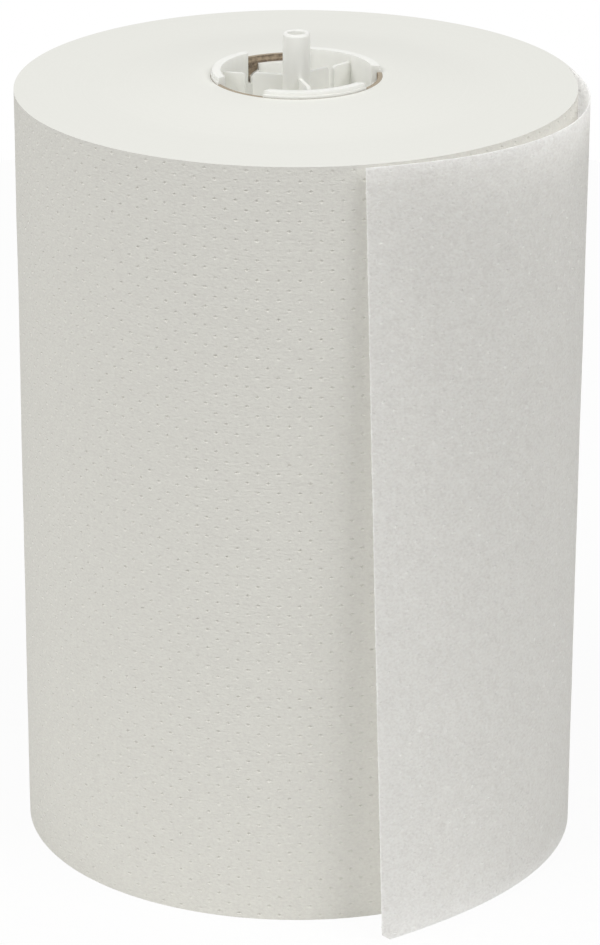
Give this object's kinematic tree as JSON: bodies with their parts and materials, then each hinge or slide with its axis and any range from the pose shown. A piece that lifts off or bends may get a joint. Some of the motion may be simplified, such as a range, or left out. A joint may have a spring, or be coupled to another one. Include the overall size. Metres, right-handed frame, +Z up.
{
  "type": "paper towel roll",
  "caption": "Hard-wound embossed paper towel roll with a loose tail, on a card core with a moulded end plug and spindle for a wall dispenser.",
  "frame": {"origin": "on the roll's axis, in the plane that the roll stands on", "axes": "+Z up the core from the standing end to the plugged end, -Y the front where the free edge of the tail hangs"},
  "size_m": [0.1456, 0.1556, 0.2136],
  "materials": {
    "towel_paper": "matt, embossed",
    "core_card": "matt",
    "plug_plastic": "satin moulded"
  },
  "bodies": {
    "root": {"paper_roll": "towel_paper", "core_tube": "core_card", "end_plug": "plug_plastic"}
  },
  "joints": []
}
